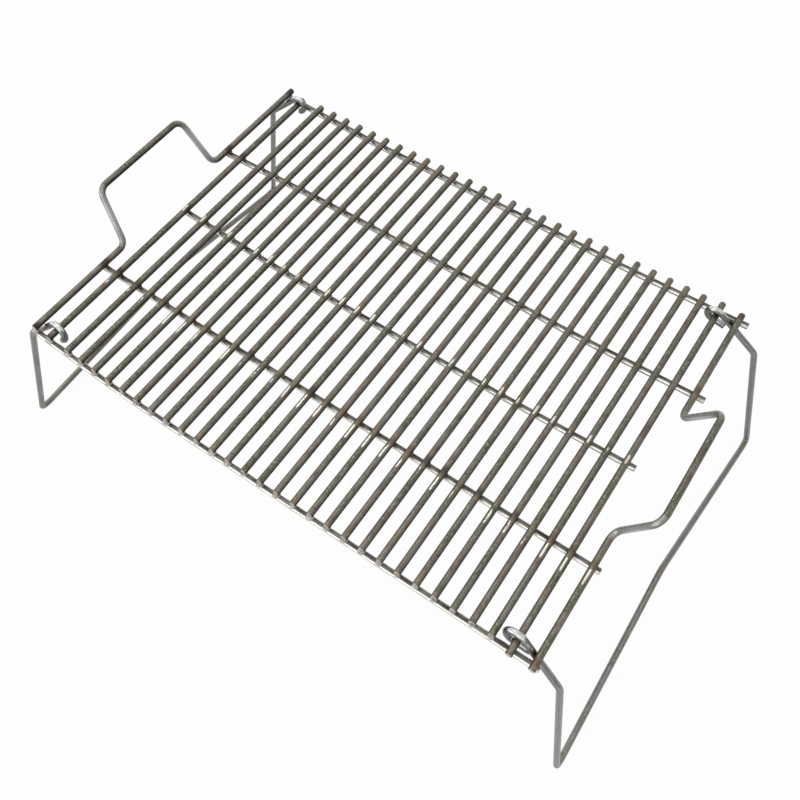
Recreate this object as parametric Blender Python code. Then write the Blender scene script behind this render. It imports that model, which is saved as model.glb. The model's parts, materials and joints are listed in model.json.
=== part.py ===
"""A portable camp grill, bent and welded from steel wire of one gauge.

Thirty-one bars lie on five cross rods, which use has bowed a little at their ends. The
middle rod stops at the bars that carry the legs. The two end bars rise into handles, and a
leg bent from one wire is hooked over the second bar at each end. The leg hangs outwards
against the underside of the end bar, and folds flat under the grate.

X runs along the cross rods, Y along the bars from front to back, and Z up. Pieces are
drawn from the crossing of the left end bar and the front rail, at the height of the bars'
centre lines. The whole grill then stands on the ground, centred on the world's origin.
"""

import math
from dataclasses import dataclass

import bmesh
import bpy
from mathutils import Quaternion, Vector

# The wire
WIRE = 0.005
WIRE_SIDES = 12
TOUCH_GAP = 0.0003  # left between two wires that touch
BEND_STEP = math.radians(15)
SHARP_ANGLE = math.radians(50)  # only the cut ends stay sharp
LEVEL = 0.00001  # two heights that differ by less are one
STRAIGHT = math.radians(0.01)  # a corner that turns by less is none

# The bars, from the left end: clear gaps beside the bars that carry the legs, then one pitch
PITCH = 0.014
EVEN_GAPS = 26
LEFT_END_GAP = 0.0104
LEFT_HOOK_GAP = 0.0144
RIGHT_HOOK_GAP = 0.0098
RIGHT_END_GAP = 0.0112
BAR_PAST_FRONT = 0.0005
BAR_PAST_BACK = 0.0053
LEFT_HOOK_BAR_PAST_BACK = 0.0033  # the bars that carry the legs were cut to other lengths
RIGHT_HOOK_BAR_PAST_BACK = 0.0067
RIGHT_BARS_PAST_FRONT = 0.005  # the last two bars were cut longer

# The cross rods, from the front
ROD_SPACING = 0.0763
BACK_ROD_SPACING = 0.0788
FRONT_RAIL_OVERHANG = 0.004
FRONT_ROD_OVERHANG = 0.0058
BACK_ROD_OVERHANG = 0.008
MIDDLE_ROD_OVERHANG = 0.0074
BOW_LENGTH = 0.1  # at each end of a rod
BOW_BEND = 1.0

# The legs
FOOT_DROP = 0.15  # from the bars' centre lines to the feet's
EYE_CLEARANCE = 0.0006  # between the widest eye and the next bar, as it turns
KNEE_BEND = 0.009
FOOT_BEND = 0.0035
FOOT_LEVEL = 0.004
ARCH_BEND = 0.03

# The handles
HANDLE_ROOT_BEND = 0.008
HANDLE_GRIP_BEND = 0.009


@dataclass
class Rod:
    """A cross rod, which use has bent a little towards the back or the front at its ends."""

    y: float
    left: float
    right: float
    left_bow: float
    right_bow: float


@dataclass
class Handle:
    past_front: float  # the end bar's ends, past the rails
    past_back: float
    root_length: float  # between the bends at the end bar
    grip_length: float
    grip_shift: float  # of the grip's middle, towards the back
    reach: float  # outwards from the end bar
    rise: float


@dataclass
class LegEnd:
    """The front or the back of a leg. Insets are from the rail's straight middle, inwards."""

    rail_gap: float  # left clear where the leg slopes down past the rail
    eye_gap: float  # between the rail and the eye's lower side, seen from above
    eye_slack: float  # how much wider the eye is bent than the bar that it turns on
    eye_turn: float  # degrees that the wire turns round the bar
    tip_length: float
    knee_reach: float  # outwards from the end bar
    knee_inset: float
    foot_reach: float  # outwards from the end bar
    foot_spread: float  # past the rail


@dataclass
class Leg:
    front: LegEnd
    back: LegEnd
    arch_rise: float  # of the foot bar's middle above the feet
    arch_shift: float  # of the arch's crown, towards the back


LEFT_HANDLE = Handle(
    past_front=BAR_PAST_FRONT,
    past_back=0.0075,
    root_length=0.1064,
    grip_length=0.091,
    grip_shift=0.0028,
    reach=0.022,
    rise=0.0394,
)
RIGHT_HANDLE = Handle(
    past_front=RIGHT_BARS_PAST_FRONT,
    past_back=BAR_PAST_BACK,
    root_length=0.1017,
    grip_length=0.094,
    grip_shift=0.0,
    reach=0.022,
    rise=0.0364,
)
LEFT_LEG = Leg(
    front=LegEnd(
        rail_gap=0.0025,
        eye_gap=0.0023,
        eye_slack=0.0015,
        eye_turn=195,
        tip_length=0.001,
        knee_reach=0.017,
        knee_inset=0.0069,
        foot_reach=0.0511,
        foot_spread=0.0104,
    ),
    back=LegEnd(
        rail_gap=0.0017,
        eye_gap=0.0016,
        eye_slack=0.0005,
        eye_turn=205,
        tip_length=0.001,
        knee_reach=0.0152,
        knee_inset=0.005,
        foot_reach=0.0441,
        foot_spread=0.0071,
    ),
    arch_rise=0.0245,
    arch_shift=0.0133,
)
RIGHT_LEG = Leg(
    front=LegEnd(
        rail_gap=0.0008,
        eye_gap=0.0025,
        eye_slack=(RIGHT_HOOK_GAP - WIRE - TOUCH_GAP - EYE_CLEARANCE) / 2,
        eye_turn=220,
        tip_length=0.0115,
        knee_reach=0.0202,
        knee_inset=0.0023,
        foot_reach=0.0492,
        foot_spread=0.013,
    ),
    back=LegEnd(
        rail_gap=0.0015,
        eye_gap=0.0012,
        eye_slack=0.001,
        eye_turn=211,
        tip_length=0.011,
        knee_reach=0.022,
        knee_inset=0.001,
        foot_reach=0.0568,
        foot_spread=0.0106,
    ),
    arch_rise=0.0326,
    arch_shift=-0.0023,
)

# Places that follow
TOUCH = WIRE + TOUCH_GAP  # between the centre lines of two wires that touch
LEFT_HOOK_X = WIRE + LEFT_END_GAP
RIGHT_HOOK_X = LEFT_HOOK_X + WIRE + LEFT_HOOK_GAP + EVEN_GAPS * PITCH + WIRE + RIGHT_HOOK_GAP
RIGHT_END_X = RIGHT_HOOK_X + WIRE + RIGHT_END_GAP
BACK_Y = 3 * ROD_SPACING + BACK_ROD_SPACING
MIDDLE_Y = BACK_Y / 2

LEFT_END = -WIRE / 2
FRONT_RAIL = Rod(
    y=0.0,
    left=LEFT_END,
    right=RIGHT_END_X + FRONT_RAIL_OVERHANG,
    left_bow=0.0039,
    right_bow=0.0,
)
FRONT_MIDDLE_ROD = Rod(
    y=ROD_SPACING,
    left=LEFT_END,
    right=RIGHT_END_X + FRONT_ROD_OVERHANG,
    left_bow=0.0013,
    right_bow=-0.0004,
)
MIDDLE_ROD = Rod(
    y=2 * ROD_SPACING,
    left=LEFT_HOOK_X + LEFT_END,
    right=RIGHT_HOOK_X + MIDDLE_ROD_OVERHANG,
    left_bow=0.0042,
    right_bow=0.0023,
)
BACK_MIDDLE_ROD = Rod(
    y=3 * ROD_SPACING,
    left=LEFT_END,
    right=RIGHT_END_X + BACK_ROD_OVERHANG,
    left_bow=-0.0021,
    right_bow=0.0026,
)
BACK_RAIL = Rod(
    y=BACK_Y,
    left=LEFT_END,
    right=RIGHT_END_X + BACK_ROD_OVERHANG,
    left_bow=0.0034,
    right_bow=0.0022,
)

SCORCHED = ((0.19, 0.18, 0.15, 1.0), 0.45)
BRIGHT = ((0.42, 0.43, 0.42, 1.0), 0.3)


def steel(name, colour, roughness):
    material = bpy.data.materials.new(name)
    material.use_nodes = True
    shader = material.node_tree.nodes["Principled BSDF"]
    shader.inputs["Base Color"].default_value = colour
    shader.inputs["Roughness"].default_value = roughness
    shader.inputs["Metallic"].default_value = 1.0
    return material


def rounded(corners, bends):
    """Straight runs between the corners, with an arc of its own radius at each inner one."""
    points = [corners[0]]
    for before, corner, after, bend in zip(corners, corners[1:], corners[2:], bends):
        back = (before - corner).normalized()
        ahead = (after - corner).normalized()
        turn = math.pi - back.angle(ahead)
        if turn < STRAIGHT:
            continue
        shortest = min((before - corner).length, (after - corner).length)
        cut = min(bend * math.tan(turn / 2), shortest / 2)
        radius = cut / math.tan(turn / 2)
        centre = corner + (back + ahead).normalized() * math.hypot(cut, radius)
        spoke = corner + back * cut - centre
        axis = ahead.cross(back)
        steps = math.ceil(turn / BEND_STEP)
        for step in range(steps + 1):
            points.append(centre + Quaternion(axis, turn * step / steps) @ spoke)
    points.append(corners[-1])
    return points


def directions(points):
    """The wire's direction at each point: along the run at the ends, between runs elsewhere."""
    runs = [(b - a).normalized() for a, b in zip(points, points[1:])]
    inner = [(a + b).normalized() for a, b in zip(runs, runs[1:])]
    return [runs[0], *inner, runs[-1]]


def carried(points, up):
    """The section's up vector at each point, carried along the wire without a twist."""
    along = directions(points)
    ups = [up - along[0] * up.dot(along[0])]
    for before, after in zip(along, along[1:]):
        ups.append(before.rotation_difference(after) @ ups[-1])
    return [vector.normalized() for vector in ups]


def wire_mesh(name, points, ups):
    """A closed wire whose flats lie on the round wire, one of them facing up."""
    corner_radius = WIRE / 2 / math.cos(math.pi / WIRE_SIDES)
    bm = bmesh.new()
    rings = []
    for point, along, up in zip(points, directions(points), ups):
        side = along.cross(up)
        ring = []
        for corner in range(WIRE_SIDES):
            angle = 2 * math.pi * (corner + 0.5) / WIRE_SIDES
            spoke = up * math.cos(angle) + side * math.sin(angle)
            ring.append(bm.verts.new(point + spoke * corner_radius))
        rings.append(ring)
    for ring, following in zip(rings, rings[1:]):
        for corner in range(WIRE_SIDES):
            beside = (corner + 1) % WIRE_SIDES
            bm.faces.new((ring[corner], ring[beside], following[beside], following[corner]))
    bm.faces.new(rings[0])
    bm.faces.new(rings[-1])
    bmesh.ops.recalc_face_normals(bm, faces=bm.faces)
    mesh = bpy.data.meshes.new(name)
    bm.to_mesh(mesh)
    bm.free()
    mesh.shade_smooth()
    mesh.set_sharp_from_angle(angle=SHARP_ANGLE)
    return mesh


def placed(name, mesh, place, material, parent):
    piece = bpy.data.objects.new(name, mesh)
    if not mesh.materials:
        mesh.materials.append(material)
    piece.location = place
    piece.parent = parent
    bpy.context.scene.collection.objects.link(piece)
    return piece


def straight_wire(name, start, end):
    points = [start, end]
    return wire_mesh(name, points, carried(points, Vector((0, 0, 1))))


def rod_y(rod, x):
    """Where the rod lies, from front to back, at x."""
    left_share = max(rod.left + BOW_LENGTH - x, 0) / BOW_LENGTH
    right_share = max(x - rod.right + BOW_LENGTH, 0) / BOW_LENGTH
    return rod.y + rod.left_bow * left_share + rod.right_bow * right_share


def add_bars(material, parent):
    """The straight bars, between the two end bars. Their front ends follow the front rail."""
    first_even_x = LEFT_HOOK_X + WIRE + LEFT_HOOK_GAP
    even_places = [first_even_x + PITCH * number for number in range(EVEN_GAPS + 1)]
    bars = [(LEFT_HOOK_X, BAR_PAST_FRONT, LEFT_HOOK_BAR_PAST_BACK)]
    bars += [(x, BAR_PAST_FRONT, BAR_PAST_BACK) for x in even_places]
    bars.append((RIGHT_HOOK_X, RIGHT_BARS_PAST_FRONT, RIGHT_HOOK_BAR_PAST_BACK))
    for number, (x, past_front, past_back) in enumerate(bars, start=2):
        name = f"bar_{number:02d}"
        front = Vector((0, rod_y(FRONT_RAIL, x) - past_front, 0))
        mesh = straight_wire(name, front, Vector((0, BACK_Y + past_back, 0)))
        placed(name, mesh, (x, 0, 0), material, parent)


def add_rod(name, rod, material, parent):
    """A cross rod, under the bars."""
    corners = [
        Vector((rod.left, rod.left_bow, 0)),
        Vector((rod.left + BOW_LENGTH, 0, 0)),
        Vector((rod.right - BOW_LENGTH, 0, 0)),
        Vector((rod.right, rod.right_bow, 0)),
    ]
    points = rounded(corners, [BOW_BEND, BOW_BEND])
    mesh = wire_mesh(name, points, carried(points, Vector((0, 0, 1))))
    placed(name, mesh, (0, rod.y, -TOUCH), material, parent)


def add_handle_bar(name, x, outwards, handle, material, parent):
    """An end bar, bent out and up into a handle between the middle rods."""
    root = handle.root_length / 2
    grip = handle.grip_length / 2
    grip_x = outwards * handle.reach
    corners = [
        Vector((0, rod_y(FRONT_RAIL, x) - handle.past_front, 0)),
        Vector((0, MIDDLE_Y - root, 0)),
        Vector((grip_x, MIDDLE_Y + handle.grip_shift - grip, handle.rise)),
        Vector((grip_x, MIDDLE_Y + handle.grip_shift + grip, handle.rise)),
        Vector((0, MIDDLE_Y + root, 0)),
        Vector((0, BACK_Y + handle.past_back, 0)),
    ]
    bends = [HANDLE_ROOT_BEND, HANDLE_GRIP_BEND, HANDLE_GRIP_BEND, HANDLE_ROOT_BEND]
    points = rounded(corners, bends)
    mesh = wire_mesh(name, points, carried(points, Vector((0, 0, 1))))
    placed(name, mesh, (x, 0, 0), material, parent)


def slope_of(end_spacing):
    """The leg's angle below the level, passing over the hook bar and under the end bar."""
    return math.asin(2 * TOUCH / end_spacing)


def eye_points(end, slope, seat, low_y, knee):
    """From the cut tip under the bar, round its inner side, to the seat on top of it.

    Points are outwards, back and up from the bar's centre line. The eye drifts along the bar
    to its lower side, and its bend runs on smoothly from the leg's slope.
    """
    radius = TOUCH + end.eye_slack
    normal = Vector((math.sin(slope), 0, math.cos(slope)))
    centre = Vector((0, seat.y, 0)) - end.eye_slack * normal
    turn = math.radians(end.eye_turn)
    run = seat - knee
    start_rate = run.y / math.hypot(run.x, run.z) * radius * turn
    steps = math.ceil(turn / BEND_STEP)
    points = []
    for step in range(steps + 1):
        share = step / steps
        drift = (low_y - seat.y) * share**2 * (3 - 2 * share) + start_rate * share * (1 - share) ** 2
        spoke = Quaternion((0, -1, 0), turn * share) @ normal
        points.append(centre + radius * spoke + Vector((0, drift, 0)))
    tip_run = Quaternion((0, -1, 0), turn) @ Vector((-normal.z, 0, normal.x))
    points.append(points[-1] + tip_run * end.tip_length)
    return points[::-1]


def leg_side(end, end_spacing, rail, x, inwards):
    """One side of a leg: its eye from the cut tip to the seat, then its knee and its foot.

    The eye keeps its gaps to the rail where the rail passes it, at x.
    """
    beside = inwards * (rod_y(rail, x) - rail.y)
    slope = slope_of(end_spacing)
    knee_x = end_spacing + end.knee_reach
    seat_x = TOUCH * math.sin(slope)
    seat_z = TOUCH * math.cos(slope)
    knee_z = seat_z - (knee_x - seat_x) * math.tan(slope)
    passing_share = (seat_z + TOUCH) / (seat_z - knee_z)
    passing_inset = beside + WIRE + end.rail_gap
    seat_inset = (passing_inset - passing_share * end.knee_inset) / (1 - passing_share)
    seat = Vector((seat_x, rail.y + inwards * seat_inset, seat_z))
    knee = Vector((knee_x, rail.y + inwards * end.knee_inset, knee_z))
    foot_y = rail.y - inwards * end.foot_spread
    foot = Vector((end_spacing + end.foot_reach, foot_y, -FOOT_DROP))
    low_y = rail.y + inwards * (beside + WIRE + end.eye_gap)
    return eye_points(end, slope, seat, low_y, knee), knee, foot


def arch_crown(leg, feet, knees):
    """The middle of the foot bar, in the leaning plane of the leg."""
    foot = (feet[0] + feet[1]) / 2
    knee = (knees[0] + knees[1]) / 2
    crown = foot + (knee - foot) * (leg.arch_rise / (knee.z - foot.z))
    crown.y = foot.y + leg.arch_shift
    return crown


def add_leg(name, x, outwards, end_spacing, leg, material, parent):
    """A leg bent from one wire. Its object's origin lies on the bar that it turns on."""
    front_eye, front_knee, front_foot = leg_side(leg.front, end_spacing, FRONT_RAIL, x, 1)
    back_eye, back_knee, back_foot = leg_side(leg.back, end_spacing, BACK_RAIL, x, -1)
    along = (back_foot - front_foot).normalized()
    level = along * (2 * FOOT_BEND + FOOT_LEVEL)
    corners = [
        front_eye[-1],
        front_knee,
        front_foot,
        front_foot + level,
        arch_crown(leg, (front_foot, back_foot), (front_knee, back_knee)),
        back_foot - level,
        back_foot,
        back_knee,
        back_eye[-1],
    ]
    bends = [KNEE_BEND, FOOT_BEND, FOOT_BEND, ARCH_BEND, FOOT_BEND, FOOT_BEND, KNEE_BEND]
    points = front_eye[:-1] + rounded(corners, bends) + back_eye[-2::-1]
    if outwards < 0:
        points = [Vector((-point.x, point.y, point.z)) for point in points]
    lowest = min(point.z for point in points)
    stand = next(index for index, point in enumerate(points) if point.z < lowest + LEVEL)
    up = Vector((0, 0, 1))
    before = carried(points[stand::-1], up)
    ups = before[:0:-1] + carried(points[stand:], up)
    placed(name, wire_mesh(name, points, ups), (x, 0, 0), material, parent)


def stand_on_ground(frame):
    """Moves the whole grill so that its box stands on the ground, centred on the origin."""
    bpy.context.view_layer.update()
    corners = [piece.matrix_world @ vertex.co for piece in frame.children for vertex in piece.data.vertices]
    low = Vector(min(corner[axis] for corner in corners) for axis in range(3))
    high = Vector(max(corner[axis] for corner in corners) for axis in range(3))
    frame.location = (-(low.x + high.x) / 2, -(low.y + high.y) / 2, -low.z)


def main():
    for old in list(bpy.data.objects):
        bpy.data.objects.remove(old)
    scorched = steel("scorched_steel", *SCORCHED)
    bright = steel("bright_steel", *BRIGHT)
    frame = bpy.data.objects.new("grill", None)
    bpy.context.scene.collection.objects.link(frame)
    add_bars(scorched, frame)
    add_rod("front_rail", FRONT_RAIL, bright, frame)
    add_rod("front_middle_rod", FRONT_MIDDLE_ROD, bright, frame)
    add_rod("middle_rod", MIDDLE_ROD, bright, frame)
    add_rod("back_middle_rod", BACK_MIDDLE_ROD, bright, frame)
    add_rod("back_rail", BACK_RAIL, bright, frame)
    add_handle_bar("left_handle_bar", 0, -1, LEFT_HANDLE, scorched, frame)
    add_handle_bar("right_handle_bar", RIGHT_END_X, 1, RIGHT_HANDLE, scorched, frame)
    add_leg("left_leg", LEFT_HOOK_X, -1, WIRE + LEFT_END_GAP, LEFT_LEG, bright, frame)
    add_leg("right_leg", RIGHT_HOOK_X, 1, WIRE + RIGHT_END_GAP, RIGHT_LEG, bright, frame)
    stand_on_ground(frame)


main()
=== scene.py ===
"""The finish of a portable camp grill, bent and welded from steel wire.

Each wire of the frame gets a round skin along the same centre line, with sheared ends, the
flats that the welding electrodes pressed into it, and a drawn and heat-tinted surface. Weld
beads sit where the bars cross the rods.
"""

import json
import math
import random
from dataclasses import dataclass

import bmesh
import bpy
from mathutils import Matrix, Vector
from mathutils.geometry import interpolate_bezier


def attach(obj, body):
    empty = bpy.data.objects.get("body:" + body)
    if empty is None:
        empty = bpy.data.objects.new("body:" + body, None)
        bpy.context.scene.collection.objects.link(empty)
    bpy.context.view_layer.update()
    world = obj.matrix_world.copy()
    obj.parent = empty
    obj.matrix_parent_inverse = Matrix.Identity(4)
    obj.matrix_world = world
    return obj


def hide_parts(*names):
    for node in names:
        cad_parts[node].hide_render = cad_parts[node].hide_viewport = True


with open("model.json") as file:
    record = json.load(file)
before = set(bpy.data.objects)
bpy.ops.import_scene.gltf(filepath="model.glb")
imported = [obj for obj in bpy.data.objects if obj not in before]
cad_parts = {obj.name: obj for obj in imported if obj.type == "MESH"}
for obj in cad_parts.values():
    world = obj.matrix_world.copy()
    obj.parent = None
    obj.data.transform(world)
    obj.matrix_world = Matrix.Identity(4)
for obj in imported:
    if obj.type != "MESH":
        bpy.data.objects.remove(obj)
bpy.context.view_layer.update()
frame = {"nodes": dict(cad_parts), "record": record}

# The wire
RADIUS = 0.0025
SIDES = 20
STEP = 0.002
CAD_SIDES = 12
MERGE = 0.000002
CAP_FLATNESS = math.radians(0.2)
SIDE_FLATNESS = math.radians(0.045)
SHARP_ANGLE = math.radians(42)
UNEVEN_DEPTH = 0.00004
UNEVEN_SCALE = 90.0
PATTERN_STEP = 0.7  # from one wire to the next, so that no two have the same pattern

# The sheared ends
SHEARED_LENGTH = 0.0007
SHEARED_STEPS = (0.00025, 0.0007)
SHEARED_GIRTH = 0.86

# The welds. Heat runs from 0, clean, to 1, black scale.
WELD_SEED = 4
FLAT_DEPTH = 0.0003
FLAT_SHARES = (0.5, 1.0)
FLAT_LENGTH = 0.0046
HEAT_LENGTH = 0.0048
BURN_LENGTH = 0.006
USUAL_HEAT = (0.1, 0.34)
ROD_HEAT = {"front_middle_rod": (0.25, 0.6)}
BURNT = 0.4
BAR_HEAT = {"left_handle_bar": 0.75, "bar_02": 0.65, "right_handle_bar": 0.45}
ROD_HEAT_SHARE = 0.5

# The beads
BEAD_SEED = 11
BEAD_SIZE = (0.0033, 0.0027, 0.00135)
BEAD_SIZE_SHARES = (0.8, 1.05)
BEAD_ROUGHNESS = 0.0009
BEAD_LUMPS = 620.0
BEAD_HEAT = 0.2
BEAD_HEAT_SHARE = 0.5  # of its weld's heat, on top of its own

# Painted glints: bright, smoother streaks painted along the bars' crowns near two rods; their
# shift from a rod towards the back, and half length
GLINT_STREAKS = {"middle_rod": (-0.001, 0.004), "front_middle_rod": (-0.0115, 0.0062)}
GLINT_STRENGTHS = (0.35, 1.2)
# Where on the wire the painted highlight lies, a little to the left of the top
HIGHLIGHT_SIDE = Vector((-0.08, 0.0, 1.0))

# How suddenly each mark ends along the wire
HEAT_POWER = 2
FLAT_POWER = 4
GLINT_POWER = 4
HOOK_POWER = 6

# The legs' hooks, smoother on their crowns with a painted highlight there, and with painted shade
# on their sides
HOOK_LENGTH = 0.052
HOOK_POLISH_AND_HIGHLIGHT = 0.8
# How much painted shade the uprights take
UPRIGHT_SHADE = 0.55

# The legs' foot bars, darker than the uprights: stained, with deeper painted shade
FOOT_STAIN = 0.24
FOOT_SHADE = 1.1
FOOT_HEIGHT = 0.05
LEVEL_SPAN = 2  # the points on each side that show whether the wire runs level

# The handles' sloping sides, cleaned by hands: a brighter metal that is partly a painted sheen,
# smoother, with less painted shade
HANDLED_METAL_AND_SHEEN = (0.74, 0.75, 0.74, 1.0)
HANDLED_AND_SHEEN_SHARE = 0.85
HANDLED_SHADE_LOSS = 0.7

# Painted shade elsewhere: little on the sheared faces, and a painted dark line along the rods'
# undersides, which starts where the surface faces up by less than the rod's value
CUT_SHADE = 0.1
NO_UNDERSIDE_SHADE = -2.0
UNDERSIDE_SHADE_STARTS = {
    "front_rail": -0.05,
    "front_middle_rod": 0.2,
    "middle_rod": 0.4,
    "back_middle_rod": 0.4,
    "back_rail": 0.3,
}

# The photograph's camera
CAMERA_PLACE = (0.212809, -0.30322, 0.68632)
CAMERA_TURN = (30.0163, -0.286, 34.2405)
CAMERA_LENS = 39.144
IMAGE_WIDTH = 800
HALF_PIXEL = 0.5
SENSOR_WIDTH = 36.0
CLIP_START = 0.01

# The floor
FLOOR_HALF = 8.0
FLOOR_GREY = (0.8, 0.8, 0.8, 1.0)
FLOOR_PALE = (0.95, 0.95, 0.95, 1.0)
FLOOR_WHITENESS = 0.95

# The studio around it: white along the horizon, and shaded overhead from one side to the other
WHITE = (1.0, 1.0, 1.0, 1.0)
HORIZON_RANGE = (0.02, 0.14)
BRIGHT_SIDE = (-0.62, -0.62, 0.48)
BRIGHT_RANGE = (-0.9, 1.0)
OVERHEAD_COLOURS = [
    (0.0, (0.5, 0.5, 0.48)),
    (0.5, (0.71, 0.71, 0.69)),
    (1.0, (0.88, 0.88, 0.87)),
]

# The lamps: name, place, width and height, power and colour
LAMP_AIM = (0, 0, 0.1)
LAMPS = [
    ("front_softbox", (-0.6, -1.6, 0.58), (2.2, 0.4), 8.0, (1.0, 1.0, 1.0)),
    ("overhead_left", (-0.9, 0.3, 1.9), (1.6, 1.4), 3.0, (1.0, 0.99, 0.96)),
]

FLOAT = "NodeSocketFloat"
INTEGER = "NodeSocketInt"
VECTOR = "NodeSocketVector"
COLOUR = "NodeSocketColor"
GEOMETRY = "NodeSocketGeometry"
MATERIAL = "NodeSocketMaterial"

BODY_OF = {
    name: body for body, names in frame["record"]["behaviour"]["bodies"].items() for name in names
}
SLOT_OF = {part["node"]: part["material_slot"] for part in frame["record"]["subparts"]}


def node(tree, kind, sockets=(), **settings):
    """A node with its settings, and each of its inputs linked or given its value."""
    made = tree.nodes.new(kind)
    for name, value in settings.items():
        setattr(made, name, value)
    for name, value in dict(sockets).items():
        if isinstance(value, bpy.types.NodeSocket):
            tree.links.new(value, made.inputs[name])
        else:
            made.inputs[name].default_value = value
    return made


def maths(tree, operation, *values, clamp=False):
    made = node(tree, "ShaderNodeMath", enumerate(values), operation=operation, use_clamp=clamp)
    return made.outputs["Value"]


def vectors(tree, operation, *values):
    made = node(tree, "ShaderNodeVectorMath", enumerate(values), operation=operation)
    return made.outputs["Vector"]


def scaled(tree, vector, factor):
    sockets = {"Vector": vector, "Scale": factor}
    return node(tree, "ShaderNodeVectorMath", sockets, operation="SCALE").outputs["Vector"]


def dotted(tree, first, second):
    sockets = {0: first, 1: second}
    return node(tree, "ShaderNodeVectorMath", sockets, operation="DOT_PRODUCT").outputs["Value"]


def rise(tree, vector):
    """The part of a vector that points straight up."""
    return node(tree, "ShaderNodeSeparateXYZ", {"Vector": vector}).outputs["Z"]


def ranged(tree, value, low, high, low_result=0.0, high_result=1.0):
    """The value from its range to another, eased at both ends."""
    sockets = enumerate((value, low, high, low_result, high_result))
    return node(tree, "ShaderNodeMapRange", sockets, interpolation_type="SMOOTHSTEP").outputs[0]


def mixed(tree, share, first, second):
    """A colour between two. The Mix node takes its colours at sockets 6 and 7."""
    sockets = {0: share, 6: first, 7: second}
    return node(tree, "ShaderNodeMix", sockets, data_type="RGBA").outputs[2]


def noise(tree, place, scale, detail=2.0, roughness=0.5):
    sockets = {"Vector": place, "Scale": scale, "Detail": detail, "Roughness": roughness}
    return node(tree, "ShaderNodeTexNoise", sockets).outputs[0]


def ramp(tree, value, stops):
    """Colours along a value. Each stop is a position and a colour."""
    made = node(tree, "ShaderNodeValToRGB", {0: value})
    elements = made.color_ramp.elements
    while len(elements) < len(stops):
        elements.new(1.0)
    for element, (position, colour) in zip(elements, stops):
        element.position = position
        element.color = (*colour, 1.0)
    return made.outputs["Color"]


def new_tree(name, kind, inputs, outputs):
    """A node group with named inputs and outputs, and its input sockets by name."""
    tree = bpy.data.node_groups.new(name, kind)
    for label, socket_type in inputs.items():
        tree.interface.new_socket(label, in_out="INPUT", socket_type=socket_type)
    for label, socket_type in outputs.items():
        tree.interface.new_socket(label, in_out="OUTPUT", socket_type=socket_type)
    return tree, node(tree, "NodeGroupInput").outputs


def grouped(tree, group, sockets):
    return node(tree, "ShaderNodeGroup", sockets, node_tree=group).outputs


def surface(tree, name, output="Fac"):
    """A value that the wire's mesh carries."""
    return node(tree, "ShaderNodeAttribute", attribute_name=name).outputs[output]


# A range gives where an effect starts and where it is full, and after them its two strengths
# where those aren't 0 and 1.


@dataclass
class Pattern:
    """A noise over the wire. Lengthwise is its scale's share along the wire, 1 being even."""

    scale: float
    lengthwise: float
    detail: float
    roughness: float


DRAWN_LINES = Pattern(scale=2600.0, lengthwise=0.03, detail=3.0, roughness=0.65)
GRIT = Pattern(scale=1100.0, lengthwise=0.45, detail=2.0, roughness=0.6)
SLIVERS = Pattern(scale=800.0, lengthwise=0.22, detail=2.0, roughness=0.6)
PATCHES = Pattern(scale=170.0, lengthwise=0.35, detail=3.0, roughness=0.6)
CLOUDS = Pattern(scale=60.0, lengthwise=0.35, detail=2.0, roughness=0.5)
PITS_RANGE = (0.54, 0.68)
SPECKS_RANGE = (0.43, 0.31)


def patterned(tree, place, pattern):
    stretched = vectors(tree, "MULTIPLY", place, (1.0, 1.0, pattern.lengthwise))
    return noise(tree, stretched, pattern.scale, pattern.detail, pattern.roughness)


def drawn_grain():
    """What the drawing die and handling leave: lines along the wire, pits and patches."""
    labels = ("Lines", "Pits", "Specks", "Slivers", "Patches", "Clouds")
    outputs = {label: FLOAT for label in labels}
    tree, given = new_tree("drawn_grain", "ShaderNodeTree", {"Place": VECTOR}, outputs)
    grit = patterned(tree, given["Place"], GRIT)
    results = {
        "Lines": patterned(tree, given["Place"], DRAWN_LINES),
        "Pits": ranged(tree, grit, *PITS_RANGE),
        "Specks": ranged(tree, grit, *SPECKS_RANGE),
        "Slivers": patterned(tree, given["Place"], SLIVERS),
        "Patches": patterned(tree, given["Place"], PATCHES),
        "Clouds": patterned(tree, given["Place"], CLOUDS),
    }
    node(tree, "NodeGroupOutput", results)
    return tree


TEMPER_COLOURS = [
    (0.0, (0.33, 0.32, 0.28)),
    (0.2, (0.33, 0.27, 0.185)),
    (0.38, (0.24, 0.18, 0.13)),
    (0.52, (0.14, 0.12, 0.12)),
    (0.68, (0.075, 0.073, 0.078)),
    (0.85, (0.03, 0.031, 0.028)),
]
TINTED_RANGE = (0.08, 0.42)
SCALE_RANGE = (0.5, 0.85)


def heat_tint():
    """Temper colours, from straw through bronze and purple to blue-black scale."""
    inputs = {"Clean": COLOUR, "Heat": FLOAT, "Patches": FLOAT, "Patchiness": FLOAT}
    outputs = {"Colour": COLOUR, "Scale": FLOAT}
    tree, given = new_tree("heat_tint", "ShaderNodeTree", inputs, outputs)
    sway = maths(tree, "SUBTRACT", given["Patches"], 0.5)
    swayed = maths(tree, "MULTIPLY", sway, given["Patchiness"])
    hot = maths(tree, "ADD", given["Heat"], swayed, clamp=True)
    share = ranged(tree, hot, *TINTED_RANGE)
    results = {
        "Colour": mixed(tree, share, given["Clean"], ramp(tree, hot, TEMPER_COLOURS)),
        "Scale": ranged(tree, hot, *SCALE_RANGE),
    }
    node(tree, "NodeGroupOutput", results)
    return tree


# The black of the grime in the pits and of the painted shade
SHADE_AND_PIT_BLACK = (0.016, 0.015, 0.012, 1.0)
PATCHY_RANGE = (0.25, 0.7, 0.8, 1.15)
UNDERSIDE_SHADE_RANGE = (0.0, -0.4, 0.0, 0.8)


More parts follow.
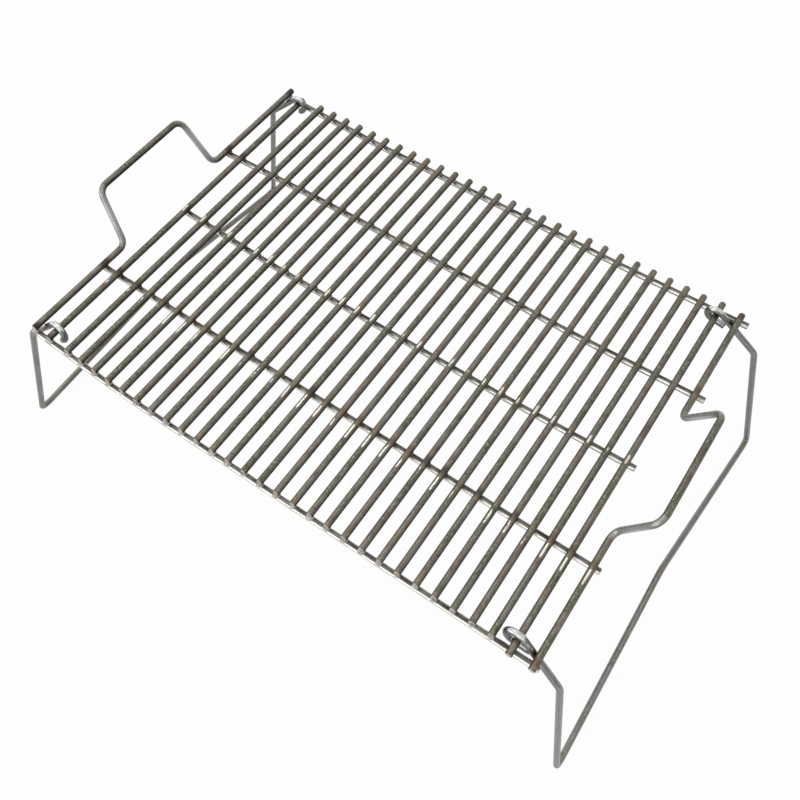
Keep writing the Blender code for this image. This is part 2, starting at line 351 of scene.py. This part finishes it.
def painted_shade_and_pits():
    """Grime in pits, and painted shade: darker on the sides that face up less, and a painted dark
    line along the underside.
    """
    inputs = {
        "Colour": COLOUR,
        "Upward": FLOAT,
        "Shade Starts At": FLOAT,
        "Shade Full At": FLOAT,
        "Pits": FLOAT,
        "Patches": FLOAT,
        "Depth": FLOAT,
        "Pit Depth": FLOAT,
        "Underside Shade": FLOAT,
    }
    outputs = {"Colour": COLOUR, "Cover": FLOAT}
    tree, given = new_tree("painted_shade_and_pits", "ShaderNodeTree", inputs, outputs)
    # Painted shade by how the surface faces, uneven in patches
    facing_shade = ranged(tree, given["Upward"], given["Shade Starts At"], given["Shade Full At"])
    uneven = ranged(tree, given["Patches"], *PATCHY_RANGE)
    patchy_shade = maths(tree, "MULTIPLY", facing_shade, uneven)
    painted_shade = maths(tree, "MULTIPLY", patchy_shade, given["Depth"])
    # Painted shade: a dark line where the surface turns under
    turned = maths(tree, "SUBTRACT", given["Upward"], given["Underside Shade"])
    below = ranged(tree, turned, *UNDERSIDE_SHADE_RANGE)
    pitted = maths(tree, "MULTIPLY", given["Pits"], given["Pit Depth"])
    all_painted_shade = maths(tree, "MAXIMUM", painted_shade, below)
    shade_and_pits = maths(tree, "MAXIMUM", all_painted_shade, pitted, clamp=True)
    results = {"Colour": mixed(tree, shade_and_pits, given["Colour"], SHADE_AND_PIT_BLACK), "Cover": shade_and_pits}
    node(tree, "NodeGroupOutput", results)
    return tree


@dataclass
class Finish:
    """How one steel looks.

    Tints are the clean metal's colours from patch to patch, and the metal below them shows in
    specks and gives the colour of the painted highlight. Painted shade starts where the surface
    faces up by the first of its two values and is full at the second. The band on the crown says
    the same of the wear there, which is smoother and carries a painted highlight.
    """

    tints: list
    cloud_tint: tuple
    cut_colour: tuple
    patchiness: float
    shade_starts_at: float
    shade_full_at: float
    painted_shade_depth: float
    roughness: tuple
    grain_depth: float
    pit_depth: float
    speck_depth: float
    bare_and_glint: tuple = (0.93, 0.9, 0.8, 1.0)
    glint_band: tuple = (0.9, 0.975)


SCORCHED = Finish(
    tints=[
        (0.33, (0.182, 0.178, 0.12)),
        (0.42, (0.255, 0.248, 0.192)),
        (0.5, (0.29, 0.282, 0.267)),
        (0.58, (0.31, 0.235, 0.163)),
        (0.66, (0.19, 0.17, 0.19)),
    ],
    cloud_tint=(0.225, 0.22, 0.16, 1.0),
    cut_colour=(0.62, 0.6, 0.6, 1.0),
    patchiness=0.6,
    # Painted shade on the bars' sides and undersides
    shade_starts_at=0.86,
    shade_full_at=0.2,
    painted_shade_depth=0.95,
    roughness=(0.36, 0.46),
    grain_depth=0.00003,
    pit_depth=0.7,
    speck_depth=0.32,
)
ROD = Finish(
    tints=[
        (0.32, (0.8, 0.78, 0.7)),
        (0.5, (0.91, 0.9, 0.87)),
        (0.68, (0.82, 0.77, 0.68)),
    ],
    cloud_tint=(0.84, 0.82, 0.72, 1.0),
    cut_colour=(0.45, 0.44, 0.41, 1.0),
    patchiness=0.35,
    # Painted shade on the rods' crowns, which face up most
    shade_starts_at=0.62,
    shade_full_at=1.03,
    painted_shade_depth=0.88,
    roughness=(0.16, 0.24),
    grain_depth=0.00001,
    pit_depth=0.45,
    speck_depth=0.2,
)
LEG = Finish(
    tints=[
        (0.32, (0.28, 0.29, 0.285)),
        (0.5, (0.34, 0.345, 0.345)),
        (0.68, (0.29, 0.28, 0.265)),
    ],
    cloud_tint=(0.295, 0.29, 0.27, 1.0),
    cut_colour=(0.6, 0.6, 0.58, 1.0),
    patchiness=0.3,
    # Painted shade on the legs' sides
    shade_starts_at=0.86,
    shade_full_at=-0.15,
    painted_shade_depth=0.58,
    roughness=(0.2, 0.3),
    grain_depth=0.00001,
    pit_depth=0.5,
    speck_depth=0.25,
    bare_and_glint=(0.84, 0.88, 0.88, 1.0),
    glint_band=(0.3, 0.9),
)
WELDED = Finish(
    tints=[
        (0.35, (0.46, 0.44, 0.42)),
        (0.5, (0.7, 0.68, 0.68)),
        (0.65, (0.34, 0.31, 0.31)),
    ],
    cloud_tint=(0.46, 0.42, 0.37, 1.0),
    cut_colour=(0.3, 0.3, 0.3, 1.0),
    patchiness=0.9,
    # Painted shade on the beads' undersides
    shade_starts_at=0.8,
    shade_full_at=-0.5,
    painted_shade_depth=0.6,
    roughness=(0.28, 0.55),
    grain_depth=0.00006,
    pit_depth=0.6,
    speck_depth=0.4,
)


CLOUDS_RANGE = (0.46, 0.62)
LINES_RANGE = (0.35, 0.6, 0.42, 0.0)
LINES_COLOUR = (0.08, 0.08, 0.07, 1.0)
GRITTY_RANGE = (0.42, 0.6, 0.3, 1.0)
RAGGEDNESS = 1.6
GLINT_RANGE = (0.42, 0.62)
BRUSHED_RANGE = (0.3, 0.7)
DULL_METAL_LOSS = 0.6
DULL_ROUGHNESS = 0.25
POLISH_SMOOTHNESS = 0.16


def clean_metal(tree, grain, gritty, finish):
    """The colour before any heat: tinted in patches, lined, speckled, and brighter on the handles'
    sides, which is partly clean metal and partly a painted sheen.
    """
    clouds = ranged(tree, grain["Clouds"], *CLOUDS_RANGE)
    patchy = mixed(tree, clouds, ramp(tree, grain["Patches"], finish.tints), finish.cloud_tint)
    lined = mixed(tree, ranged(tree, grain["Lines"], *LINES_RANGE), patchy, LINES_COLOUR)
    speck_depth = maths(tree, "MULTIPLY", gritty, finish.speck_depth)
    specks = maths(tree, "MULTIPLY", grain["Specks"], speck_depth)
    speckled = mixed(tree, specks, lined, finish.bare_and_glint)
    return mixed(tree, surface(tree, "handled_and_sheen"), speckled, HANDLED_METAL_AND_SHEEN)


def polish_and_glint_band(tree, grain, finish):
    """1 where the crown carries the painted highlight and is smoother, with a ragged edge."""
    band = ranged(tree, surface(tree, "crown"), *finish.glint_band)
    polished_or_glinting = maths(tree, "MULTIPLY", surface(tree, "polish_and_glint"), band)
    ragged = maths(tree, "MULTIPLY_ADD", grain["Slivers"], RAGGEDNESS, -RAGGEDNESS / 2)
    return ranged(tree, maths(tree, "ADD", polished_or_glinting, ragged), *GLINT_RANGE)


def steel(name, groups, finish):
    """A steel that is tinted in patches, burnt near the welds, grimy in its pits, with a painted
    highlight along its crown and painted shade by how it faces.
    """
    material = bpy.data.materials.new(name)
    material.use_nodes = True
    tree = material.node_tree
    shader = tree.nodes["Principled BSDF"]
    grain = grouped(tree, groups["grain"], {"Place": surface(tree, "drawn", "Vector")})
    gritty = ranged(tree, grain["Clouds"], *GRITTY_RANGE)
    tint_sockets = {
        "Clean": clean_metal(tree, grain, gritty, finish),
        "Heat": surface(tree, "weld_heat"),
        "Patches": grain["Patches"],
        "Patchiness": finish.patchiness,
    }
    tinted = grouped(tree, groups["tint"], tint_sockets)
    glint_share = polish_and_glint_band(tree, grain, finish)
    # Painted highlight: the crown's band mixed towards a bright metal colour
    glinted = mixed(tree, glint_share, tinted["Colour"], finish.bare_and_glint)
    # Dark pits, and painted shade by how the surface faces and along the underside
    shade_sockets = {
        "Colour": mixed(tree, surface(tree, "cut"), glinted, finish.cut_colour),
        "Upward": surface(tree, "upward"),
        "Shade Starts At": finish.shade_starts_at,
        "Shade Full At": finish.shade_full_at,
        "Pits": grain["Pits"],
        "Patches": grain["Patches"],
        "Depth": maths(tree, "MULTIPLY", surface(tree, "shade_share"), finish.painted_shade_depth),
        "Pit Depth": maths(tree, "MULTIPLY", gritty, finish.pit_depth),
        "Underside Shade": surface(tree, "underside"),
    }
    shaded = grouped(tree, groups["painted_shade_and_pits"], shade_sockets)
    tree.links.new(shaded["Colour"], shader.inputs["Base Color"])

    # The painted shade and pits also make the metal duller and rougher
    dull = maths(tree, "ADD", tinted["Scale"], shaded["Cover"], clamp=True)
    metal = maths(tree, "SUBTRACT", 1.0, maths(tree, "MULTIPLY", dull, DULL_METAL_LOSS))
    tree.links.new(metal, shader.inputs["Metallic"])
    brushed = ranged(tree, grain["Lines"], *BRUSHED_RANGE, *finish.roughness)
    rough = maths(tree, "ADD", brushed, maths(tree, "MULTIPLY", dull, DULL_ROUGHNESS))
    polished_or_glinting = maths(tree, "MAXIMUM", glint_share, surface(tree, "handled_and_sheen"))
    smoothed = maths(tree, "MULTIPLY", polished_or_glinting, POLISH_SMOOTHNESS)
    tree.links.new(maths(tree, "SUBTRACT", rough, smoothed), shader.inputs["Roughness"])
    height = maths(tree, "SUBTRACT", grain["Lines"], grain["Pits"])
    relief = node(tree, "ShaderNodeBump", {"Height": height, "Distance": finish.grain_depth})
    tree.links.new(relief.outputs["Normal"], shader.inputs["Normal"])
    return material


def named(tree, name, data_type="FLOAT"):
    made = node(tree, "GeometryNodeInputNamedAttribute", {"Name": name}, data_type=data_type)
    return made.outputs["Attribute"]


def stored(tree, geometry, name, value, data_type="FLOAT"):
    sockets = {"Geometry": geometry, "Name": name, "Value": value}
    made = node(
        tree, "GeometryNodeStoreNamedAttribute", sockets, data_type=data_type, domain="POINT"
    )
    return made.outputs["Geometry"]


def moved(tree, geometry, offset):
    sockets = {"Geometry": geometry, "Offset": offset}
    return node(tree, "GeometryNodeSetPosition", sockets).outputs["Geometry"]


def finished(tree, geometry, material):
    """The end of a tree: real geometry, with its material."""
    real = node(tree, "GeometryNodeRealizeInstances", {"Geometry": geometry}).outputs["Geometry"]
    coloured = node(tree, "GeometryNodeSetMaterial", {"Geometry": real, "Material": material})
    node(tree, "NodeGroupOutput", {"Geometry": coloured.outputs["Geometry"]})


def drawn_place(tree, radius, offset):
    """Where a point lies on the wire: across it in X and Y, and along it in Z."""
    around = named(tree, "around")
    sockets = {
        "X": maths(tree, "MULTIPLY", maths(tree, "COSINE", around), radius),
        "Y": maths(tree, "MULTIPLY", maths(tree, "SINE", around), radius),
        "Z": maths(tree, "ADD", named(tree, "along"), offset),
    }
    return node(tree, "ShaderNodeCombineXYZ", sockets).outputs["Vector"]


def pressed_in(tree, spoke, radius, side):
    """How far a flat moves a point, down from the top or up from the bottom."""
    raised = maths(tree, "MULTIPLY", rise(tree, spoke), side)
    level = maths(tree, "SUBTRACT", radius, named(tree, "flat"))
    sunk = maths(tree, "MAXIMUM", maths(tree, "SUBTRACT", raised, level), 0.0)
    push = maths(tree, "MULTIPLY", maths(tree, "MULTIPLY", sunk, side), -1.0)
    return node(tree, "ShaderNodeCombineXYZ", {"Z": push}).outputs["Vector"]


def wire_skin():
    """A round wire along a line of edges, which carries its girth, flats and finish.

    The flats are pressed in on the side that Press Side gives: 1 is the top and -1 the bottom.
    """
    inputs = {
        "Geometry": GEOMETRY,
        "Radius": FLOAT,
        "Sides": INTEGER,
        "Uneven Depth": FLOAT,
        "Press Side": FLOAT,
        "Pattern Offset": FLOAT,
        "Material": MATERIAL,
    }
    tree, given = new_tree("wire_skin", "GeometryNodeTree", inputs, {"Geometry": GEOMETRY})
    place = node(tree, "GeometryNodeInputPosition").outputs["Position"]
    line = stored(tree, given["Geometry"], "centre", place, "FLOAT_VECTOR")
    curve = node(tree, "GeometryNodeMeshToCurve", {"Mesh": line}).outputs["Curve"]
    round_sockets = {"Resolution": given["Sides"], "Radius": given["Radius"]}
    ring = node(tree, "GeometryNodeCurvePrimitiveCircle", round_sockets).outputs["Curve"]
    turn = node(tree, "GeometryNodeSplineParameter").outputs["Factor"]
    ring = stored(tree, ring, "around", maths(tree, "MULTIPLY", turn, math.tau))
    skin_sockets = {"Curve": curve, "Profile Curve": ring, "Fill Caps": True}
    skin = node(tree, "GeometryNodeCurveToMesh", skin_sockets).outputs["Mesh"]
    drawn = drawn_place(tree, given["Radius"], given["Pattern Offset"])
    skin = stored(tree, skin, "drawn", drawn, "FLOAT_VECTOR")

    spoke = vectors(tree, "SUBTRACT", place, named(tree, "centre", "FLOAT_VECTOR"))
    lumps = noise(tree, named(tree, "drawn", "FLOAT_VECTOR"), UNEVEN_SCALE)
    loss = maths(tree, "MULTIPLY", lumps, given["Uneven Depth"])
    share = maths(tree, "DIVIDE", loss, given["Radius"])
    shrink = maths(tree, "ADD", maths(tree, "SUBTRACT", 1.0, named(tree, "girth")), share)
    skin = moved(tree, skin, scaled(tree, spoke, maths(tree, "MULTIPLY", shrink, -1.0)))

    crown = maths(tree, "DIVIDE", dotted(tree, spoke, HIGHLIGHT_SIDE), given["Radius"])
    skin = stored(tree, skin, "crown", crown)
    skin = moved(tree, skin, pressed_in(tree, spoke, given["Radius"], given["Press Side"]))
    facing = node(tree, "GeometryNodeInputNormal").outputs["Normal"]
    skin = stored(tree, skin, "upward", rise(tree, facing))
    finished(tree, skin, given["Material"])
    return tree


def bead_field():
    """A lump of weld metal at each point, each sized and roughened a little differently."""
    inputs = {
        "Geometry": GEOMETRY,
        "Size": VECTOR,
        "Roughness": FLOAT,
        "Seed": INTEGER,
        "Material": MATERIAL,
    }
    tree, given = new_tree("bead_field", "GeometryNodeTree", inputs, {"Geometry": GEOMETRY})
    ball = node(tree, "GeometryNodeMeshIcoSphere", {"Radius": 1.0, "Subdivisions": 2})
    draw = node(tree, "FunctionNodeRandomValue", {"Seed": given["Seed"]}, data_type="FLOAT")
    share = ranged(tree, draw.outputs[1], 0.0, 1.0, *BEAD_SIZE_SHARES)
    instance_sockets = {
        "Points": given["Geometry"],
        "Instance": ball.outputs["Mesh"],
        "Scale": scaled(tree, given["Size"], share),
    }
    beads = node(tree, "GeometryNodeInstanceOnPoints", instance_sockets).outputs["Instances"]
    real = node(tree, "GeometryNodeRealizeInstances", {"Geometry": beads}).outputs["Geometry"]
    place = node(tree, "GeometryNodeInputPosition").outputs["Position"]
    real = stored(tree, real, "drawn", place, "FLOAT_VECTOR")
    facing = node(tree, "GeometryNodeInputNormal").outputs["Normal"]
    lumps = maths(tree, "SUBTRACT", noise(tree, place, BEAD_LUMPS), 0.5)
    offset = scaled(tree, facing, maths(tree, "MULTIPLY", lumps, given["Roughness"]))
    real = moved(tree, real, offset)
    real = stored(tree, real, "upward", rise(tree, facing))
    finished(tree, real, given["Material"])
    return tree


def grown(name, mesh, tree, values):
    """The plain mesh object that a Geometry Nodes tree makes from a base mesh."""
    base = bpy.data.objects.new(f"{name}_base", mesh)
    bpy.context.scene.collection.objects.link(base)
    modifier = base.modifiers.new("grow", "NODES")
    modifier.node_group = tree
    for item in tree.interface.items_tree:
        if item.in_out == "INPUT" and item.name in values:
            modifier[item.identifier] = values[item.name]
    depsgraph = bpy.context.evaluated_depsgraph_get()
    result = bpy.data.meshes.new_from_object(
        base.evaluated_get(depsgraph), preserve_all_data_layers=True, depsgraph=depsgraph
    )
    bpy.data.objects.remove(base)
    result.name = name
    result.shade_smooth()
    result.set_sharp_from_angle(angle=SHARP_ANGLE)
    piece = bpy.data.objects.new(name, result)
    bpy.context.scene.collection.objects.link(piece)
    return piece


def flattened(mesh, flatness):
    """The mesh with its flat faces whole again."""
    bm = bmesh.new()
    bm.from_mesh(mesh)
    bmesh.ops.remove_doubles(bm, verts=bm.verts, dist=MERGE)
    bmesh.ops.dissolve_limit(bm, angle_limit=flatness, verts=bm.verts, edges=bm.edges)
    bm.verts.index_update()
    return bm


def first_ring(mesh):
    """The corners of a wire's cut end, the one at the front or the left."""
    bm = flattened(mesh, CAP_FLATNESS)
    caps = [face for face in bm.faces if len(face.verts) == CAD_SIDES]
    first = min(caps, key=lambda face: sum(face.calc_center_median().xy))
    corners = [corner.co.copy() for corner in first.verts]
    bm.free()
    return corners


def centre_line(name):
    """The middle of each ring of corners along a wire of the frame, from its front or left end."""
    mesh = frame["nodes"][name].data
    bm = flattened(mesh, SIDE_FLATNESS)
    starts = first_ring(mesh)
    ring = [min(bm.verts, key=lambda corner: (corner.co - place).length) for place in starts]
    seen = set(ring)
    middles = []
    while ring:
        middles.append(sum((corner.co for corner in ring), Vector()) / len(ring))
        beside = {edge.other_vert(corner) for corner in ring for edge in corner.link_edges}
        ring = sorted(beside - seen, key=lambda corner: corner.index)
        seen.update(ring)
    bm.free()
    return middles


def smooth_line(middles):
    """Short steps along the line, with its bends rounded and a few close ones at each end."""
    befores = [middles[0], *middles[:-1]]
    afters = [*middles[1:], middles[-1]]
    ahead = []
    for before, middle, after in zip(befores, middles, afters):
        into = middle - before
        out = after - middle
        ahead.append((into * into.length + out * out.length).normalized())
    points = [middles[0]]
    for start, end, out, into in zip(middles, middles[1:], ahead, ahead[1:]):
        length = (end - start).length
        handle = length / 3
        count = math.ceil(length / STEP) + 1
        bend = interpolate_bezier(start, start + out * handle, end - into * handle, end, count)
        points += bend[1:]
    first = [points[0] + ahead[0] * reach for reach in SHEARED_STEPS]
    last = [points[-1] - ahead[-1] * reach for reach in reversed(SHEARED_STEPS)]
    return [points[0], *first, *points[1:-1], *last, points[-1]]


@dataclass
class Weld:
    bar: str
    rod: str
    place: Vector
    heat: float
    heat_length: float
    flat: float
    glint_streak: float


def passing(line, x):
    """Where a cross rod's line passes x, or None past its ends."""
    for start, end in zip(line, line[1:]):
        if start.x - RADIUS < x < end.x + RADIUS:
            return start.lerp(end, (x - start.x) / (end.x - start.x))
    return None


def find_welds(lines):
    """Where the bars cross the rods, and how hot each crossing was welded."""
    draw = random.Random(WELD_SEED)
    rods = [name for name in lines if name.endswith(("rail", "rod"))]
    bars = [name for name in lines if SLOT_OF[name] == "scorched_steel"]
    welds = []
    for rod in rods:
        for bar in bars:
            top = lines[bar][0]
            under = passing(lines[rod], top.x)
            if under is None:
                continue
            drawn_heat = draw.uniform(*ROD_HEAT.get(rod, USUAL_HEAT))
            heat = BAR_HEAT.get(bar, drawn_heat)
            heat_length = BURN_LENGTH if heat > BURNT else HEAT_LENGTH
            flat = draw.uniform(*FLAT_SHARES) * FLAT_DEPTH
            glint_streak = draw.uniform(*GLINT_STRENGTHS)
            place = Vector((top.x, under.y, (top.z + under.z) / 2))
            welds.append(Weld(bar, rod, place, heat, heat_length, flat, glint_streak))
    return welds


def nearness(distance, length, power):
    """1 at a place and next to nothing well past the length, the more suddenly with more power."""
    return math.exp(-((distance / length) ** power))


def weld_marks(name, point, welds):
    """What a wire's welds leave at a point: heat, the depth of a flat, and a painted glint."""
    heat = 0.0
    flat = 0.0
    glint_streak = 0.0
    for weld in welds:
        away = (point - weld.place).xy.length
        share = 1.0 if name == weld.bar else ROD_HEAT_SHARE
        heat = max(heat, share * weld.heat * nearness(away, weld.heat_length, HEAT_POWER))
        flat = max(flat, weld.flat * nearness(away, FLAT_LENGTH, FLAT_POWER))
        if name == weld.bar and weld.rod in GLINT_STREAKS:
            shift, half = GLINT_STREAKS[weld.rod]
            away = point.y - weld.place.y - shift
            glint_streak = max(glint_streak, weld.glint_streak * nearness(away, half, GLINT_POWER))
    return heat, flat, glint_streak


def footing(points, index):
    """From 0 to 1, how much a leg's wire at this point is foot bar: low, and running level."""
    if points[index].z >= FOOT_HEIGHT:
        return 0.0
    before = points[max(index - LEVEL_SPAN, 0)]
    after = points[min(index + LEVEL_SPAN, len(points) - 1)]
    level = 1 - abs((after - before).normalized().z)
    return level**2


def handled_and_sheen_share(points, index):
    """How much clean hands brighten a handle's wire here, partly as a painted sheen: most on its
    sloping sides, not on its grip.
    """
    reach = max(abs(point.x - points[0].x) for point in points)
    out = abs(points[index].x - points[0].x) / reach
    return HANDLED_AND_SHEEN_SHARE * math.sqrt(max(4 * out * (1 - out), 0.0))


def line_facts(name, points, welds):
    """What a wire's line carries at each point: its length so far, its shape and its finish."""
    along = [0.0]
    for before, after in zip(points, points[1:]):
        along.append(along[-1] + (after - before).length)
    own_welds = [weld for weld in welds if name in (weld.bar, weld.rod)]
    is_leg = name.endswith("leg")
    rows = []
    for index, (point, length) in enumerate(zip(points, along)):
        to_end = min(length, along[-1] - length)
        sheared = max(1 - to_end / SHEARED_LENGTH, 0.0)
        heat, flat, glint_streak = weld_marks(name, point, own_welds)
        hooked = nearness(to_end, HOOK_LENGTH, HOOK_POWER) if is_leg else 0.0
        foot = footing(points, index) if is_leg else 0.0
        handled_and_sheen = handled_and_sheen_share(points, index) if name.endswith("handle_bar") else 0.0
        # How much painted shade each point takes: less on the handles' sides, and on the legs more
        # at the hooks and feet than on the uprights
        shade_share = 1 - HANDLED_SHADE_LOSS * handled_and_sheen
        if is_leg:
            shade_share = UPRIGHT_SHADE + (1 - UPRIGHT_SHADE) * hooked
            shade_share += (FOOT_SHADE - UPRIGHT_SHADE) * foot
        row = {
            "along": length,
            "girth": 1 - (1 - SHEARED_GIRTH) * sheared**2,
            "flat": flat,
            "cut": float(to_end == 0.0),
            "weld_heat": max(heat, FOOT_STAIN * foot),
            "polish_and_glint": max(glint_streak, HOOK_POLISH_AND_HIGHLIGHT * hooked),
            "handled_and_sheen": handled_and_sheen,
            "shade_share": CUT_SHADE if to_end == 0.0 else shade_share,
            "underside": UNDERSIDE_SHADE_STARTS.get(name, NO_UNDERSIDE_SHADE),
        }
        rows.append(row)
    return {label: [row[label] for row in rows] for label in rows[0]}


def point_mesh(name, points, edges, facts):
    """A mesh of points and edges that carries the facts."""
    mesh = bpy.data.meshes.new(name)
    mesh.from_pydata(points, edges, [])
    for label, values in facts.items():
        layer = mesh.attributes.new(label, "FLOAT", "POINT")
        layer.data.foreach_set("value", values)
    return mesh


def make_wires(lines, welds, steels):
    """A round wire in place of each of the frame's."""
    skin = wire_skin()
    for number, (name, middles) in enumerate(lines.items()):
        points = smooth_line(middles)
        edges = [(index, index + 1) for index in range(len(points) - 1)]
        mesh = point_mesh(f"{name}_line", points, edges, line_facts(name, points, welds))
        is_bar = SLOT_OF[name] == "scorched_steel"
        values = {
            "Radius": RADIUS,
            "Sides": SIDES,
            "Uneven Depth": UNEVEN_DEPTH,
            "Press Side": 1.0 if is_bar else -1.0,
            "Pattern Offset": PATTERN_STEP * number,
            "Material": steels["leg" if name.endswith("leg") else SLOT_OF[name]],
        }
        piece = grown(f"{name}_wire", mesh, skin, values)
        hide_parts(name)
        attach(piece, BODY_OF[name])


def make_beads(welds, steels):
    """The metal squeezed out at each weld, which stays bright at the rails."""
    places = [weld.place for weld in welds]
    heats = [BEAD_HEAT_SHARE * weld.heat + BEAD_HEAT for weld in welds]
    at_rails = [weld.rod.endswith("rail") for weld in welds]
    facts = {
        "weld_heat": [0.0 if at_rail else heat for at_rail, heat in zip(at_rails, heats)],
        "shade_share": [1.0] * len(welds),
        "underside": [NO_UNDERSIDE_SHADE] * len(welds),
    }
    mesh = point_mesh("weld_places", places, [], facts)
    values = {
        "Size": BEAD_SIZE,
        "Roughness": BEAD_ROUGHNESS,
        "Seed": BEAD_SEED,
        "Material": steels["welded"],
    }
    piece = grown("weld_beads", mesh, bead_field(), values)
    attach(piece, "grate")


def add_camera():
    data = bpy.data.cameras.new("photo_camera")
    data.sensor_width = SENSOR_WIDTH
    data.lens = CAMERA_LENS
    data.shift_x = -HALF_PIXEL / IMAGE_WIDTH
    data.shift_y = HALF_PIXEL / IMAGE_WIDTH
    data.clip_start = CLIP_START
    camera = bpy.data.objects.new("photo_camera", data)
    camera.location = CAMERA_PLACE
    camera.rotation_euler = [math.radians(angle) for angle in CAMERA_TURN]
    bpy.context.scene.collection.objects.link(camera)
    bpy.context.scene.camera = camera


def add_lamp(name, place, size, power, colour):
    data = bpy.data.lights.new(name, "AREA")
    data.shape = "RECTANGLE"
    data.size, data.size_y = size
    data.energy = power
    data.color = colour
    lamp = bpy.data.objects.new(name, data)
    lamp.location = place
    towards = Vector(LAMP_AIM) - Vector(place)
    lamp.rotation_euler = towards.to_track_quat("-Z", "Y").to_euler()
    bpy.context.scene.collection.objects.link(lamp)


def seen_directly(tree):
    """1 for what the camera, a reflection or glass shows, 0 for the light that falls on things."""
    rays = node(tree, "ShaderNodeLightPath").outputs
    either = maths(tree, "MAXIMUM", rays["Is Camera Ray"], rays["Is Glossy Ray"])
    return maths(tree, "MAXIMUM", either, rays["Is Transmission Ray"])


def add_floor():
    """A pale floor that shows as white and keeps a soft share of the shadow."""
    mesh = bpy.data.meshes.new("floor")
    half = FLOOR_HALF
    corners = [(-half, -half, 0), (half, -half, 0), (half, half, 0), (-half, half, 0)]
    mesh.from_pydata(corners, [], [(0, 1, 2, 3)])
    material = bpy.data.materials.new("pale_floor")
    material.use_nodes = True
    tree = material.node_tree
    tree.nodes.remove(tree.nodes["Principled BSDF"])
    matt = node(tree, "ShaderNodeBsdfDiffuse", {"Color": FLOOR_GREY}).outputs[0]
    pale = node(tree, "ShaderNodeBsdfDiffuse", {"Color": FLOOR_PALE}).outputs[0]
    white = node(tree, "ShaderNodeEmission", {"Strength": 1.0}).outputs[0]
    shown = node(tree, "ShaderNodeMixShader", {0: FLOOR_WHITENESS, 1: pale, 2: white}).outputs[0]
    both = node(tree, "ShaderNodeMixShader", {0: seen_directly(tree), 1: matt, 2: shown})
    tree.links.new(both.outputs[0], tree.nodes["Material Output"].inputs["Surface"])
    mesh.materials.append(material)
    floor = bpy.data.objects.new("floor", mesh)
    bpy.context.scene.collection.objects.link(floor)


def add_world():
    """A studio, white along the horizon and brightest overhead at the front left."""
    world = bpy.data.worlds.new("studio")
    bpy.context.scene.world = world
    world.use_nodes = True
    tree = world.node_tree
    direction = node(tree, "ShaderNodeTexCoord").outputs["Generated"]
    brightness = ranged(tree, dotted(tree, direction, BRIGHT_SIDE), *BRIGHT_RANGE)
    overhead = ramp(tree, brightness, OVERHEAD_COLOURS)
    above = ranged(tree, rise(tree, direction), *HORIZON_RANGE)
    shade = mixed(tree, above, WHITE, overhead)
    tree.links.new(shade, tree.nodes["Background"].inputs["Color"])


def main():
    bpy.context.scene.view_settings.view_transform = "Standard"
    add_camera()
    add_floor()
    add_world()
    for lamp in LAMPS:
        add_lamp(*lamp)
    groups = {"grain": drawn_grain(), "tint": heat_tint(), "painted_shade_and_pits": painted_shade_and_pits()}
    steels = {
        "scorched_steel": steel("scorched_steel_finish", groups, SCORCHED),
        "bright_steel": steel("rod_steel_finish", groups, ROD),
        "leg": steel("leg_steel_finish", groups, LEG),
        "welded": steel("weld_metal", groups, WELDED),
    }
    lines = {name: centre_line(name) for name in SLOT_OF}
    welds = find_welds(lines)
    make_wires(lines, welds, steels)
    make_beads(welds, steels)


main()
